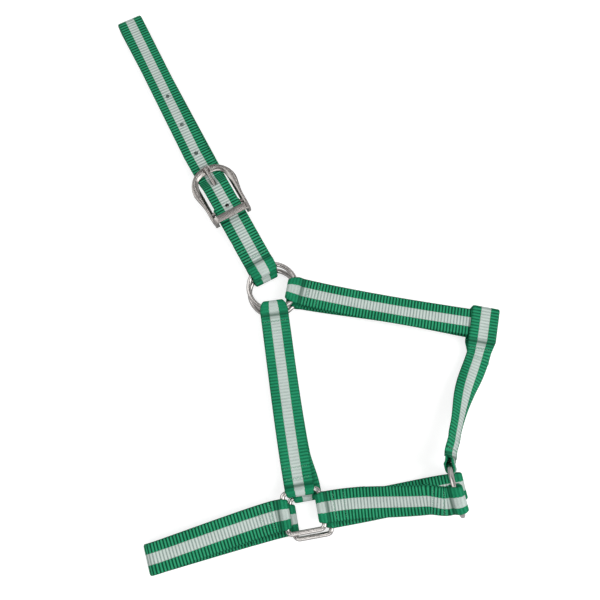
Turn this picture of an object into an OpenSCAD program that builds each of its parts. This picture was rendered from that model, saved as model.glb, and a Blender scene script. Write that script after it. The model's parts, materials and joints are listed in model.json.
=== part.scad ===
// Pony head halter of striped nylon webbing, laid flat with its near side on its far side.
// Z = 0 is the ground it lies on. Distances along a strap are counted from the ring it leaves.

/* [Webbing] */
// Width of the webbing
web_w = 25; // [22:0.5:27]
// Thickness of the webbing
web_t = 1.8; // [1.2:0.1:2.2]
// Free gap between a webbing loop and the wire inside it
loop_gap = 0.3; // [0.2:0.05:0.5]
// Gap left between two sewn layers
seam_gap = 0.1; // [0.05:0.05:0.2]
// Distance from the wire's centre to where the two layers meet
loop_throat = 5.6; // [5.5:0.1:7]
// How much each corner of a loop is gathered in on its fold
fold_trim = 1.2; // [0.6:0.1:2]
// The same on the throat and cheek straps, which crowd each other on the round ring
crowd_trim = 3.2; // [3:0.1:4]
// Length of a folded-back strap end
lap = 30; // [24:1:34]

/* [Rings] */
// Room that a round ring leaves beyond two neighbouring straps whose corners meet
ring_room = 3.1; // [2.6:0.1:6]
// Wire radius of all rings
wire_r = 2; // [1.6:0.1:2.2]
// Free room for the webbing inside a square ring
square_play = 1; // [0.8:0.1:4]
// How much taller than wide a square ring is
square_rise = 2; // [0:0.5:6]
// Corner radius of the square rings, to the middle of the wire
square_corner = 4; // [3:0.5:6]
// How far the square rings are turned
square_turn = 10; // [6:1:12]
// How far inside the round wire a loop's fold lies
round_tunnel = 4.4; // [4.2:0.1:6]
// Extra length of the crown loops, so that the crown can swing
swing_slack = 0.5; // [0.4:0.1:0.8]

/* [Lay] */
// How far the far cheek ring shows to the right of the near one
far_cheek_x = 0.6; // [0:0.1:1.5]
// How far the far cheek ring shows below the near one
far_cheek_y = 3.2; // [2:0.1:4]
// How far the far square ring shows to the right of the near one
far_nose_x = 5.9; // [4:0.1:7]
// How far the far square ring shows below the near one
far_nose_y = 3.8; // [2:0.1:5]
// Centre to centre length of the cheek straps
cheek_len = 189; // [150:1:240]
// Direction of the cheek from round ring to square ring
cheek_dir = -82; // [-86:1:-78]
// Sideways shift of the throat and cheek loops, away from each other
crowd_shift = 1.5; // [1:0.1:2]
// Direction of the throat strap
throat_dir = -10.7; // [-14:0.1:-8]
// How much the near throat strap bows, as the turn at each end
throat_bow = 3; // [0:0.5:4]
// Length of the throat strap from ring centre to fold
throat_len = 198; // [160:1:240]
// Length of the noseband from square ring centre to fold
nose_len = 130; // [110:1:170]
// Direction of the noseband's near leg
nose_dir = 197; // [193:1:200]
// Share of the noseband's length over which it turns out of its ring
nose_pull = 0.12; // [0.1:0.01:0.33]
// Height of a U fold, from the middle of one layer to the middle of the other
fold_h = 14.2; // [11:0.1:18]

/* [Crown and buckle] */
// Direction of the crown strap as it leaves the ring
crown_dir = 119.3; // [112:0.1:124]
// Direction of the crown strap beyond its kink
crown_top_dir = 116.3; // [110:0.1:122]
// Distance from the ring to the kink
crown_kink = 143; // [135:1:150]
// Distance from the kink to the crown fold
crown_top_len = 155.3; // [110:0.1:200]
// Distance from the ring to the heel bar
heel_at = 82; // [76:1:96]
// Distance between adjusting holes
hole_pitch = 31.2; // [28:0.2:34]
// How much nearer the ring the holes lie than whole pitches from the heel bar
hole_back = 1; // [0:0.1:2]
// Diameter of an adjusting hole
hole_d = 4; // [3:0.1:5]
// Heel bar radius
heel_r = 1.75; // [1.4:0.05:2]
// Length of the buckle frame
frame_len = 56; // [53:0.5:60]
// Distance from the heel bar to the keeper end of the frame
heel_back = 12; // [10:0.5:14]
// Thickness of the buckle frame
frame_t = 3; // [2.4:0.1:3.4]
// Width of the metal round the buckle's arch
arch_w = 7.3; // [6:0.1:9]
// Width of the buckle's arms at the keeper
arm_w = 3.8; // [3:0.1:5]
// Corner radius inside the arch
inner_corner = 6; // [5:0.5:8]
// Cut-off at the frame's outer corners
foot_cut = 3; // [2:0.5:3.5]
// Free gap between the webbing's edge and the frame
frame_gap = 1.2; // [0.8:0.1:1.6]
// Width of the keeper bar
keeper_w = 6.5; // [5:0.5:8]
// Thickness of the keeper bar
keeper_t = 2.4; // [1.8:0.1:3]
// Outer corner radius of the keeper
keeper_round = 5; // [3:0.5:6]
// Width of the tongue
tongue_w = 4.2; // [3.4:0.1:4.6]
// Thickness of the tongue
tongue_t = 2.5; // [1.8:0.1:2.8]
// Wall of the tongue's eye
eye_wall = 1.5; // [1.2:0.1:2]
// Depth of the notch that the tongue rests in
notch = 1; // [0.6:0.1:1.4]
// Free gap under the resting tongue
rest_gap = 0.35; // [0.3:0.05:0.6]
// Length over which the crown strap dives under the arch
ramp_len = 13.8; // [13:0.1:16]
// Length of the slot that the tongue has opened in the crown strap
slot_len = 8.8; // [8:0.1:11]
// Free gap beside the tongue in the crown strap's slot
slot_gap = 0.5; // [0.3:0.1:1]
// Free gap beside the tongue in the chape's slot
chape_gap = 0.8; // [0.5:0.1:1.5]
// Distance from the heel bar to the chape slot's end
chape_slot = 9; // [8:0.5:12]
// Gap between the chape's two sewn laps
lap_apart = 8; // [4:0.5:12]

/* [Chin ring] */
// Distance in X from the near square ring to the chin ring's centre
chin_x = 121.2; // [112:0.1:130]
// Distance in Y from the near square ring to the chin ring's centre
chin_y = 16.6; // [10:0.1:24]
// Compass direction of the ring's axis
chin_turn = 12; // [8:1:26]
// Lean of the ring's axis above the ground
chin_lean = 14; // [4:1:14]
// Length of a folded-back strap end at the chin ring
chin_lap = 21; // [18:1:24]
// How far inside the chin ring's wire a chin strap's fold lies
chin_tunnel = 2.5; // [2.3:0.1:3.5]
// Share of the ring's lean that the far chin strap follows
far_lean = 0.6; // [0.2:0.05:0.8]
// Where the near chin strap goes round the ring, from its top
near_chin_at = -24; // [-30:1:-10]
// Where the far chin strap goes round the ring, from its top
far_chin_at = 175; // [168:1:178]
// Where the connecting strap goes round the ring, from its top
connect_at = 90; // [84:1:96]

/* [Connecting strap] */
// Distance from the fold of the throat strap to the middle of the loop round it
wrap_back = 13.5; // [12:0.5:40]
// Free gap between the wrapped throat strap and the loop
wrap_gap = 0.6; // [0.4:0.1:1.5]
// Distance from the throat strap's edge to where the loop's layers meet
wrap_throat = 12; // [10:1:16]
// Length of the sewn lap below the loop
wrap_lap = 9; // [8:1:14]
// Inside corner radius of the loop round the throat strap
wrap_round = 1.8; // [1.4:0.1:2.4]

// Slope with which the strap drifts towards the cheek as it leaves the throat strap
connect_drift = 0.12; // [0:0.02:0.3]
// Share of the strap's length over which it twists
connect_twist = 0.7; // [0.5:0.05:1]
// Share of the strap's length over which it turns out of the chin ring
connect_pull = 0.2; // [0.1:0.01:0.33]

/* [Thread] */
// Length of one stitch
stitch_len = 2.6; // [2:0.1:3.5]
// Width of the thread
thread_w = 0.7; // [0.4:0.1:1]
// Stitches in one row across the webbing
row_stitches = 6; // [4:1:6]

/* [Hidden] */
$fn = 48;

bend_steps = 10;
loop_steps = 8;
up = [0, 0, 1];
layer = web_t + seam_gap;                    // middle to middle of two sewn layers
hug = wire_r + loop_gap + web_t / 2;         // wire centre to the webbing round it
far_z = hug + web_t / 2;                     // wire height of the far rings
near_z = far_z + 2 * hug + web_t + loop_gap; // wire height of the near rings
bearing = 0.08;                              // radial clearance of the tongue's eye
square_w = web_w + 2 * wire_r + square_play;
square_h = square_w + square_rise;
ring_r = web_w / 2 / tan((throat_dir - cheek_dir) / 2) + ring_room;

green = [0.07, 0.44, 0.27];
nickel = [0.78, 0.76, 0.74];
thread = [0.75, 0.79, 0.76];

function dir(a) = [cos(a), sin(a), 0];
function left(a) = [-sin(a), cos(a), 0];
function unit(v) = v / norm(v);
function mix(a, b, f) = a * (1 - f) + b * f;
function ease(f) = f * f * (3 - 2 * f);
function flip(list) = [for (i = [len(list) - 1 : -1 : 0]) list[i]];

// ---- places -------------------------------------------------------------------------------

near_nose_xy = cheek_len * dir(cheek_dir);
crown_knee = crown_kink * dir(crown_dir);
crown_end = crown_knee + crown_top_len * dir(crown_top_dir);
nose_end = near_nose_xy + nose_len * dir(nose_dir);
throat_end = throat_len * dir(throat_dir);

function corner(end, a, side) = end + side * web_w / 2 * left(a);
low_x = corner(crown_end, crown_top_dir, 1)[0];
high_x = corner(throat_end, throat_dir, 1)[0] + web_t / 2;
low_y = corner(nose_end, nose_dir, 1)[1];
high_y = corner(crown_end, crown_top_dir, -1)[1];
middle = [(low_x + high_x) / 2, (low_y + high_y) / 2, 0];

near_cheek = up * near_z - middle;
far_cheek = up * far_z - middle + [far_cheek_x, -far_cheek_y, 0];
near_nose = near_nose_xy + up * near_z - middle;
far_nose = near_nose_xy + up * far_z - middle + [far_nose_x, -far_nose_y, 0];

chin_axis = [cos(chin_lean) * cos(chin_turn), cos(chin_lean) * sin(chin_turn), sin(chin_lean)];
chin_side = left(chin_turn);
chin_top = cross(chin_axis, chin_side);
function chin_out(a) = cos(a) * chin_top + sin(a) * chin_side;
function chin_along(a) = cos(a) * chin_side - sin(a) * chin_top;
chin_z = hug + web_t / 2 + ring_r * cos(chin_lean) + loop_gap / 2;
chin_mid = near_nose_xy - middle + [chin_x, chin_y, chin_z];

// ---- webbing ------------------------------------------------------------------------------
// A strap is a list of stations. Each is [place, direction across, cupping, width], where the
// cupping points to the centre that the webbing curls round and is one over its distance.

function at(s) = s[0];
function tangent(path, i) =
    let (last = len(path) - 1,
        ahead = unit(at(path[min(i + 1, last)]) - at(path[min(i, last - 1)])),
        behind = unit(at(path[max(i, 1)]) - at(path[max(i - 1, 0)])))
    unit(ahead + behind);
function across(path, i) =
    let (t = tangent(path, i), v = path[i][1]) unit(v - t * (v * t));
function outward(path, i) = cross(tangent(path, i), across(path, i));
function mitre(path, i) =
    i == 0 || i == len(path) - 1 ? 1 : 1 / (tangent(path, i) * unit(at(path[i + 1]) - at(path[i])));

// The webbing at station i and fraction f of its width: its middle, the way across and its face.
function cloth(path, i, f) =
    let (v = across(path, i), n = outward(path, i), y = (f - 0.5) * path[i][3],
        k = max(norm(path[i][2]), 0.0001), c = path[i][2] / k, turn = k * y * 180 / PI,
        w = v * cos(turn) + c * sin(turn))
    [at(path[i]) + v * sin(turn) / k + c * (1 - cos(turn)) / k, w, unit(n - w * (n * w))];
function skin(path, i, f, k) =
    let (c = cloth(path, i, f)) c[0] + c[2] * k * web_t / 2 * mitre(path, i);

module webbing(path, strips = 1) {
    n = 2 * (strips + 1);
    last = len(path) - 1;
    points = [for (i = [0 : last]) each concat(
        [for (j = [0 : strips]) skin(path, i, j / strips, 1)],
        [for (j = [strips : -1 : 0]) skin(path, i, j / strips, -1)])];
    sides = [for (i = [0 : last - 1], j = [0 : n - 1])
        let (a = i * n + j, b = i * n + (j + 1) % n)
        each [[a, b, b + n], [a, b + n, a + n]]];
    cap = [for (j = [0 : strips - 1])
        each [[j, n - 1 - j, n - 2 - j], [j, n - 2 - j, j + 1]]];
    far_cap = [for (f = cap) [for (k = flip(f)) last * n + k]];
    polyhedron(points = points, faces = concat(sides, cap, far_cap), convexity = 10);
}

// Stations round a wire: from the lap side, round the wire and out on the side n. With curl, the
// wire itself bends round a centre at that distance below n, and the webbing curls with it.
function loop_station(wire, u, v, n, s, h, curl, width) =
    [wire + u * s + n * h, v, curl > 0 ? -n / (curl + h) : [0, 0, 0], width];
function loop(wire, u, v, n, r = hug, tunnel = 0, curl = 0, trim = fold_trim, slack = 0) =
    let (out = loop_throat + slack, h = layer / 2)
    concat(
        [loop_station(wire, u, v, n, out, -h, curl, web_w),
            loop_station(wire, u, v, n, 0.5 + slack, -r, curl, web_w)],
        [for (k = [0 : loop_steps])
            let (a = 180 * k / loop_steps)
            loop_station(wire, u, v, n, -tunnel - slack - r * sin(a), -r * cos(a), curl,
                web_w - 2 * trim * (0.4 + 0.6 * sin(a)))],
        [loop_station(wire, u, v, n, 0.5 + slack, r, curl, web_w),
            loop_station(wire, u, v, n, out, h, curl, web_w)]);

// Stations of a smooth curve between two stations, with their directions of travel.
function curve(a, ta, b, tb, fractions, pull = 1 / 3, twist = 1) =
    let (reach = norm(at(b) - at(a)) * pull)
    [for (f = fractions)
        [at(a) * pow(1 - f, 3) + (at(a) + ta * reach) * 3 * f * pow(1 - f, 2)
            + (at(b) - tb * reach) * 3 * f * f * (1 - f) + at(b) * pow(f, 3),
            unit(mix(a[1], b[1], ease(min(1, f / twist)))), mix(a[2], b[2], pow(f, 5)), web_w]];
function steps(a, b, lap_a, lap_b, n) =
    let (l = norm(at(b) - at(a)))
    concat(lap_a == 0 ? [] : [0.02, lap_a / 2 / l],
        [for (i = [(lap_a == 0 ? 1 : 0) : n - (lap_b == 0 ? 1 : 0)])
            mix(lap_a / l, 1 - lap_b / l, i / n)],
        lap_b == 0 ? [] : [1 - lap_b / 2 / l, 0.98]);

// A sewn-down end: the strap's own path again, one layer further in.
function lap_of(path, first, count) =
    [for (i = [first + count - 1 : -1 : first])
        [at(path[i]) - outward(path, i) * layer, path[i][1], path[i][2], web_w]];
// Adds the sewn-down ends to a path that starts or ends in a loop.
loop_len = loop_steps + 5;
function sewn(path, start, end) =
    let (back = flip([for (s = path) [at(s), -s[1], s[2], s[3]]]))
    concat(
        start == 0 ? [] : lap_of(path, loop_len, start),
        path,
        end == 0 ? [] : flip([for (s = lap_of(back, loop_len, end)) [at(s), -s[1], s[2], s[3]]]));

// A strap from one wire to another.
function strap_between(a, ta, b, tb, lap_a, lap_b, n) =
    let (s = a[len(a) - 1], e = b[len(b) - 1])
    concat(a, curve(s, ta, e, tb, steps(s, e, lap_a, lap_b, n)), flip(b));

// The two legs and the fold of a strap that turns back on itself at [end].
function bend(end, near_a, far_a, top_z, h) =
    [for (k = [0 : bend_steps])
        let (f = k / bend_steps, a = mix(near_a, far_a, f), r = h / 2)
        [end + dir(a) * r * sin(180 * f) + up * (top_z - r + r * cos(180 * f)),
            left(a), [0, 0, 0], web_w]];
function folded(near, near_u, far, far_u, end, near_a, far_a, top_z, h, lap_a, n, pull = 1 / 3) =
    let (turn = bend(end, near_a, far_a, top_z, h), s = near[len(near) - 1], e = far[len(far) - 1],
        last = turn[bend_steps])
    concat(near,
        lap_a == 0 ? [] : curve(s, near_u, turn[0], dir(near_a),
            steps(s, turn[0], lap_a, 0, n), pull),
        turn,
        curve(last, -dir(far_a), e, -far_u, steps(last, e, 0, lap, n), pull),
        flip(far));

function heading(v) = atan2(v[1], v[0]);
function flat(v) = [v[0], v[1], 0];

// ---- cheek straps -------------------------------------------------------------------------

function cheek_path(ring, square, side) =
    let (n = up * side, u = dir(cheek_dir), w = dir(square_turn + 90),
        top = loop(ring + u * ring_r - left(cheek_dir) * crowd_shift, u, left(cheek_dir) * side,
            n, tunnel = round_tunnel, trim = crowd_trim),
        bottom = loop(square + w * square_h / 2, w, -left(square_turn + 90) * side, n))
    strap_between(top, u, bottom, -w, lap, lap, 6);

module near_cheek_strap() {
    color(green) webbing(sewn(cheek_path(near_cheek, near_nose, 1), 3, 3));
}

module far_cheek_strap() {
    color(green) webbing(sewn(cheek_path(far_cheek, far_nose, -1), 3, 3));
}

// ---- throat strap -------------------------------------------------------------------------

throat_fold_h = near_z - far_z + layer;
throat_top_z = near_z + layer / 2;
throat_pull = throat_fold_h / 2 + web_t / 2;
throat_fold = throat_end - throat_pull * dir(throat_dir) - middle;
throat_far_u = unit(throat_fold - flat(far_cheek) + crowd_shift * left(throat_dir) * -1);

function throat_loop(ring, u, side) =
    loop(ring + u * ring_r + left(throat_dir) * crowd_shift, u, left(throat_dir), up * side,
        tunnel = round_tunnel, trim = crowd_trim);
throat_near = throat_loop(near_cheek, dir(throat_dir - throat_bow), 1);
throat_far = throat_loop(far_cheek, throat_far_u, -1);
throat_path = folded(throat_near, dir(throat_dir - throat_bow), throat_far, throat_far_u,
    throat_fold + left(throat_dir) * crowd_shift / 2, throat_dir + throat_bow / 2,
    heading(throat_far_u), throat_top_z, throat_fold_h, lap, 5);

module throat_strap() {
    color(green) webbing(sewn(throat_path, 3, 3));
}

// ---- noseband -----------------------------------------------------------------------------

nose_out = square_turn + 180;
nose_fold = nose_end - (fold_h / 2 + web_t / 2) * dir(nose_dir) - middle;
nose_far_a = heading(nose_fold - flat(far_nose)) + 360;

function nose_loop(ring, side) =
    loop(ring + dir(nose_out) * square_w / 2, dir(nose_out), left(nose_out), up * side);
nose_path = folded(nose_loop(near_nose, 1), dir(nose_out), nose_loop(far_nose, -1), dir(nose_out),
    nose_fold, nose_dir, nose_far_a, fold_h + web_t / 2, fold_h, lap, 6, nose_pull);

module noseband() {
    color(green) webbing(sewn(nose_path, 3, 3));
}

// ---- buckle -------------------------------------------------------------------------------

frame_z = near_z + layer / 2 + web_t / 2 + loop_gap + frame_t / 2; // middle of the frame
frame_low = heel_at - heel_back;
frame_high = frame_low + frame_len;
inner_half = web_w / 2 + frame_gap;
frame_half = inner_half + arm_w;
arch_r = inner_half + arch_w;
arch_mid = frame_high - arch_r;
heel_hug = heel_r + loop_gap + web_t / 2;
over_z = frame_z + heel_hug + web_t + loop_gap;        // strap above the heel bar
under_z = frame_z - frame_t / 2 - loop_gap - web_t / 2; // strap below the arch
rest_at = frame_high - arch_w / 2;       // where the tongue rests
rest_z = frame_z + frame_t / 2 - notch + tongue_t / 2 + rest_gap;
tongue_slope = atan2(rest_z - frame_z, rest_at - heel_at);
tongue_len = frame_high - heel_at;

module at_crown() {
    translate(near_cheek - up * near_z) rotate(crown_dir) children();
}

module frame_outline() {
    difference() {
        union() {
            translate([arch_mid, 0]) circle(arch_r, $fn = 96);
            polygon([[frame_low + foot_cut, -frame_half], [arch_mid, -arch_r], [arch_mid, arch_r],
                [frame_low + foot_cut, frame_half], [frame_low, frame_half - foot_cut],
                [frame_low, foot_cut - frame_half]]);
        }
        for (s = [-1, 1]) translate([arch_mid + inner_half - inner_corner,
            s * (inner_half - inner_corner)]) circle(inner_corner);
        translate([frame_low - 1, -inner_half])
            square([arch_mid + inner_half - inner_corner - frame_low + 1, 2 * inner_half]);
        translate([arch_mid, inner_corner - inner_half])
            square([inner_half, 2 * (inner_half - inner_corner)]);
    }
}

module keeper() {
    inside = over_z + web_t / 2 + loop_gap;
    top = inside + keeper_t;
    foot = frame_z - frame_t / 2;
    translate([frame_low, 0, 0]) rotate([90, 0, 90]) linear_extrude(keeper_w) difference() {
        union() {
            translate([-frame_half, foot]) square([2 * frame_half, top - keeper_round - foot]);
            translate([keeper_round - frame_half, foot])
                square([2 * (frame_half - keeper_round), top - foot]);
            for (s = [-1, 1]) translate([s * (frame_half - keeper_round), top - keeper_round])
                circle(keeper_round);
        }
        translate([-inner_half, foot - 1]) square([2 * inner_half, inside - foot + 1]);
    }
}

module buckle_frame() {
    color(nickel) at_crown() difference() {
        union() {
            translate([0, 0, frame_z - frame_t / 2]) linear_extrude(frame_t) frame_outline();
            keeper();
            translate([heel_at, 0, frame_z]) rotate([90, 0, 0])
                cylinder(r = heel_r, h = 2 * inner_half + 4, center = true);
        }
        translate([rest_at - 10, -tongue_w / 2 - 0.3, frame_z + frame_t / 2 - notch])
            cube([20, tongue_w + 0.6, frame_t]);
    }
}

module buckle_tongue() {
    eye_r = heel_r + eye_wall;
    color(nickel) at_crown() translate([heel_at, 0, frame_z]) rotate([0, -tongue_slope, 0])
        difference() {
            union() {
                rotate([90, 0, 0]) cylinder(r = eye_r, h = tongue_w, center = true);
                translate([0, -tongue_w / 2, -tongue_t / 2])
                    cube([tongue_len - tongue_w / 2, tongue_w, tongue_t]);
                translate([tongue_len - tongue_w / 2, 0, -tongue_t / 2])
                    cylinder(d = tongue_w, h = tongue_t);
            }
            rotate([90, 0, 0]) cylinder(r = heel_r + bearing, h = tongue_w + 1, center = true);
        }
}

chape_lap = (heel_at - ring_r - 2 * loop_throat - lap_apart) / 2;
chape_ring = loop(near_cheek + dir(crown_dir) * ring_r, dir(crown_dir), left(crown_dir), up,
    tunnel = round_tunnel, slack = swing_slack);
chape_heel = loop(near_cheek + dir(crown_dir) * heel_at + up * (frame_z - near_z), -dir(crown_dir),
    left(crown_dir), up, r = heel_hug, trim = 0);
chape_path = strap_between(chape_ring, dir(crown_dir), chape_heel, dir(crown_dir),
    chape_lap, chape_lap, 2);

module buckle_chape() {
    color(green) difference() {
        webbing(sewn(chape_path, 3, 3));
        at_crown() translate([heel_at - chape_slot, -tongue_w / 2 - chape_gap, 0])
            cube([2 * chape_slot, tongue_w + 2 * chape_gap, 2 * frame_z]);
    }
}

// ---- crown strap --------------------------------------------------------------------------

ramp_end = arch_mid + inner_half - inner_corner / 2;
ramp_start = ramp_end - ramp_len;
tip_at = frame_low - 1;
past_frame = frame_high + 6;                            // where the strap starts to sink
sink_len = crown_kink + crown_top_len - past_frame;
crown_fold_top = fold_h + web_t / 2;
crown_fold = crown_end - (fold_h / 2 + web_t / 2) * dir(crown_top_dir) - middle;
crown_far_u = unit(crown_fold - flat(far_cheek));
slot_at = (ramp_start + ramp_end) / 2 - 0.6;            // where the tongue comes through

function crown_point(d) = d < crown_kink ? d * dir(crown_dir)
    : crown_knee + (d - crown_kink) * dir(crown_top_dir);
function crown_level(d) =
    d < ramp_start ? over_z
    : d < ramp_end ? mix(over_z, under_z, ease((d - ramp_start) / (ramp_end - ramp_start)))
    : mix(under_z, crown_fold_top, max(0, d - past_frame) / sink_len);
crown_stops = concat([tip_at, heel_at, ramp_start - 6],
    [for (k = [0 : 8]) mix(ramp_start, ramp_end, k / 8)],
    [past_frame, crown_kink - 5, crown_kink + 5, crown_kink + 45, crown_kink + 90]);
crown_near = [for (d = crown_stops)
    [crown_point(d) - middle + up * crown_level(d),
        left(d < crown_kink ? crown_dir : crown_top_dir), [0, 0, 0], web_w]];
crown_far = loop(far_cheek + crown_far_u * ring_r, crown_far_u, left(heading(crown_far_u)), -up,
    tunnel = round_tunnel, slack = swing_slack);
crown_path = folded(crown_near, dir(crown_top_dir), crown_far, crown_far_u, crown_fold,
    crown_top_dir, heading(crown_far_u), crown_fold_top, fold_h, 0, 6);

module crown_strap() {
    color(green) difference() {
        webbing(sewn(crown_path, 0, 3));
        for (d = [heel_at, for (k = [2 : 4]) heel_at + k * hole_pitch - hole_back])
            translate(crown_point(d) - middle + up * (under_z - 3 * web_t))
                cylinder(d = hole_d, h = over_z);
        at_crown() translate([slot_at - slot_len / 2, -tongue_w / 2 - slot_gap, under_z - web_t])
            cube([slot_len, tongue_w + 2 * slot_gap, over_z]);
    }
}

// ---- rings --------------------------------------------------------------------------------

module round_ring() {
    rotate_extrude($fn = 96) translate([ring_r, 0]) circle(wire_r, $fn = 24);
}

module square_ring() {
    x = square_w / 2;
    y = square_h / 2;
    c = square_corner;
    for (s = [-1, 1]) {
        translate([s * x, 0, 0]) rotate([90, 0, 0])
            cylinder(r = wire_r, h = 2 * (y - c), center = true, $fn = 24);
        translate([0, s * y, 0]) rotate([0, 90, 0])
            cylinder(r = wire_r, h = 2 * (x - c), center = true, $fn = 24);
    }
    for (k = [[1, 1, 0], [-1, 1, 90], [-1, -1, 180], [1, -1, 270]])
        translate([k[0] * (x - c), k[1] * (y - c), 0]) rotate(k[2])
            rotate_extrude(angle = 90) translate([c, 0]) circle(wire_r, $fn = 24);
}

module near_cheek_ring() {
    color(nickel) translate(near_cheek) round_ring();
}

module far_cheek_ring() {
    color(nickel) translate(far_cheek) round_ring();
}

module near_nose_ring() {
    color(nickel) translate(near_nose) rotate(square_turn) square_ring();
}

module far_nose_ring() {
    color(nickel) translate(far_nose) rotate(square_turn) square_ring();
}

module chin_ring() {
    color(nickel) translate(chin_mid) rotate([0, 90 - chin_lean, chin_turn]) round_ring();
}

// ---- chin straps --------------------------------------------------------------------------

function chin_path(square, a, side) =
    let (u = dir(square_turn), v = left(square_turn) * side,
        t = unit(flat(chin_axis) + up * chin_axis[2] * (side > 0 ? 1 : far_lean)),
        out = unit(chin_out(a) - t * (chin_out(a) * t)),
        start = loop(square + u * square_w / 2, u, v, up * side),
        end = loop(chin_mid + chin_out(a) * ring_r, -t, cross(out, t), out,
            tunnel = chin_tunnel, curl = ring_r))
    strap_between(start, u, end, t, lap, chin_lap, 9);

module near_chin_strap() {
    color(green) webbing(sewn(chin_path(near_nose, near_chin_at, 1), 3, 3), 6);
}

module far_chin_strap() {
    color(green) webbing(sewn(chin_path(far_nose, far_chin_at, -1), 3, 3), 6);
}

// ---- connecting strap ---------------------------------------------------------------------

wrap_u = -left(throat_dir);
wrap_at = throat_fold + (throat_pull - wrap_back) * dir(throat_dir)
    + left(throat_dir) * crowd_shift / 2;
wrap_high = throat_top_z + web_t + wrap_gap;
wrap_low = throat_top_z - throat_fold_h - web_t - loop_gap;
wrap_half = web_w / 2 + wrap_gap + web_t / 2;
wrap_edge = wrap_half + 0.8;                 // where the loop leaves the throat strap's edge
wrap_mid = (wrap_high + wrap_low) / 2;

function wrap_station(s, z) =
    [wrap_at + wrap_u * s + up * z, dir(throat_dir), [0, 0, 0], web_w];
wrap_out = web_w / 2 + wrap_throat;
function wrap_corner(z, side, from) =
    [for (k = [0 : 4])
        let (a = from + 22.5 * k)
        wrap_station(wrap_round - wrap_half - wrap_round * sin(a),
            z - side * wrap_round - wrap_round * cos(a))];
wrap_loop = concat(
    [wrap_station(wrap_out + wrap_lap, wrap_mid - layer / 2),
        wrap_station(wrap_out, wrap_mid - layer / 2),
        wrap_station(wrap_edge, wrap_low)],
    wrap_corner(wrap_low, -1, 0),
    wrap_corner(wrap_high, 1, 90),
    [wrap_station(wrap_edge, wrap_high), wrap_station(wrap_out, wrap_mid + layer / 2)]);

connect_end = loop(chin_mid + chin_out(connect_at) * ring_r, chin_out(connect_at),
    chin_along(connect_at), chin_axis, tunnel = round_tunnel);
connect_start = wrap_station(wrap_out, wrap_mid + layer / 2);
connect_path = concat(wrap_loop,
    curve(connect_start, unit(wrap_u - connect_drift * dir(throat_dir)),
        connect_end[len(connect_end) - 1], -chin_side,
        concat([0.02, 0.09], [for (k = [2 : 9]) k / 11], [0.86, 0.92, 0.98]),
        connect_pull, connect_twist),
    flip(connect_end));

module connecting_strap() {
    color(green) webbing(sewn(connect_path, 0, 3), 4);
}

// ---- stitching ----------------------------------------------------------------------------
// Rows of separate stitches across the webbing, on the outside of each sewn lap.

module stitch_on(path, i, f) {
    v = cloth(path, i, f)[1];
    n = cloth(path, i, f)[2];
    t = cross(v, n) * -1;
    p = skin(path, i, f, 1) + n * 0.06;
    multmatrix([[v[0], t[0], n[0], p[0]], [v[1], t[1], n[1], p[1]], [v[2], t[2], n[2], p[2]]])
        translate([-stitch_len / 2, -thread_w / 2, 0]) cube([stitch_len, thread_w, 0.3]);
}

module stitch_rows(path, rows) {
    color(thread) for (i = rows, k = [1 : row_stitches])
        stitch_on(path, i, k / (row_stitches + 1));
}

module seams(path, start = true, end = true) {
    n = len(path);
    stitch_rows(path, concat(start ? [loop_len + 1, loop_len + 2] : [],
        end ? [n - loop_len - 2, n - loop_len - 3] : []));
}

module chape_stitching() {
    seams(chape_path, end = false);
}

module crown_stitching() {
    seams(crown_path, start = false);
}

module near_cheek_stitching() {
    seams(cheek_path(near_cheek, near_nose, 1));
}

module far_cheek_stitching() {
    seams(cheek_path(far_cheek, far_nose, -1));
}

module throat_stitching() {
    seams(throat_path);
}

module noseband_stitching() {
    seams(nose_path);
}

module near_chin_stitching() {
    seams(chin_path(near_nose, near_chin_at, 1));
}

module far_chin_stitching() {
    seams(chin_path(far_nose, far_chin_at, -1));
}

module connecting_stitching() {
    seams(connect_path, start = false);
}

near_cheek_ring();
far_cheek_ring();
near_nose_ring();
far_nose_ring();
chin_ring();
buckle_frame();
buckle_tongue();
buckle_chape();
crown_strap();
near_cheek_strap();
far_cheek_strap();
throat_strap();
noseband();
near_chin_strap();
far_chin_strap();
connecting_strap();
chape_stitching();
crown_stitching();
near_cheek_stitching();
far_cheek_stitching();
throat_stitching();
noseband_stitching();
near_chin_stitching();
far_chin_stitching();
connecting_stitching();
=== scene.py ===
import json
import math
import random

import bmesh
import bpy
from mathutils import Matrix, Vector


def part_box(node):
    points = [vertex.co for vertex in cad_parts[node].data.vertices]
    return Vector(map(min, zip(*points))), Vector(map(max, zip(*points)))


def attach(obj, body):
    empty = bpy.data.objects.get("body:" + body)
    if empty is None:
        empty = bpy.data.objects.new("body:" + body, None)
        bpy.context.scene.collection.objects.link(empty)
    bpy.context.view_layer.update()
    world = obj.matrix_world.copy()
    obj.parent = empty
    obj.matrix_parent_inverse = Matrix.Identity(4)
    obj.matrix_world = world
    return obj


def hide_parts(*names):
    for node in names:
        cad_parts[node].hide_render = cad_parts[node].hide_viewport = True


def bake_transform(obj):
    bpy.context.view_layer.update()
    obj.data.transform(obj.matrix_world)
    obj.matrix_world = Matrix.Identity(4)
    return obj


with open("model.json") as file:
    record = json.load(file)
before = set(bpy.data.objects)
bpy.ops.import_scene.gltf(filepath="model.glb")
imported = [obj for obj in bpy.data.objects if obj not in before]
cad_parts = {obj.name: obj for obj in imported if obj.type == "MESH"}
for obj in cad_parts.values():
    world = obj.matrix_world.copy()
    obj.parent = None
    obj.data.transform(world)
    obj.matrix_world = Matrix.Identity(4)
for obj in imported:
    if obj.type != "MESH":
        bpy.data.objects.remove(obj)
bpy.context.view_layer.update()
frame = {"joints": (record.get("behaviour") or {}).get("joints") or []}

mm = 0.001
up = Vector((0, 0, 1))
random.seed(25)


def heading(degrees):
    a = math.radians(degrees)
    return Vector((math.cos(a), math.sin(a), 0))


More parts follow.
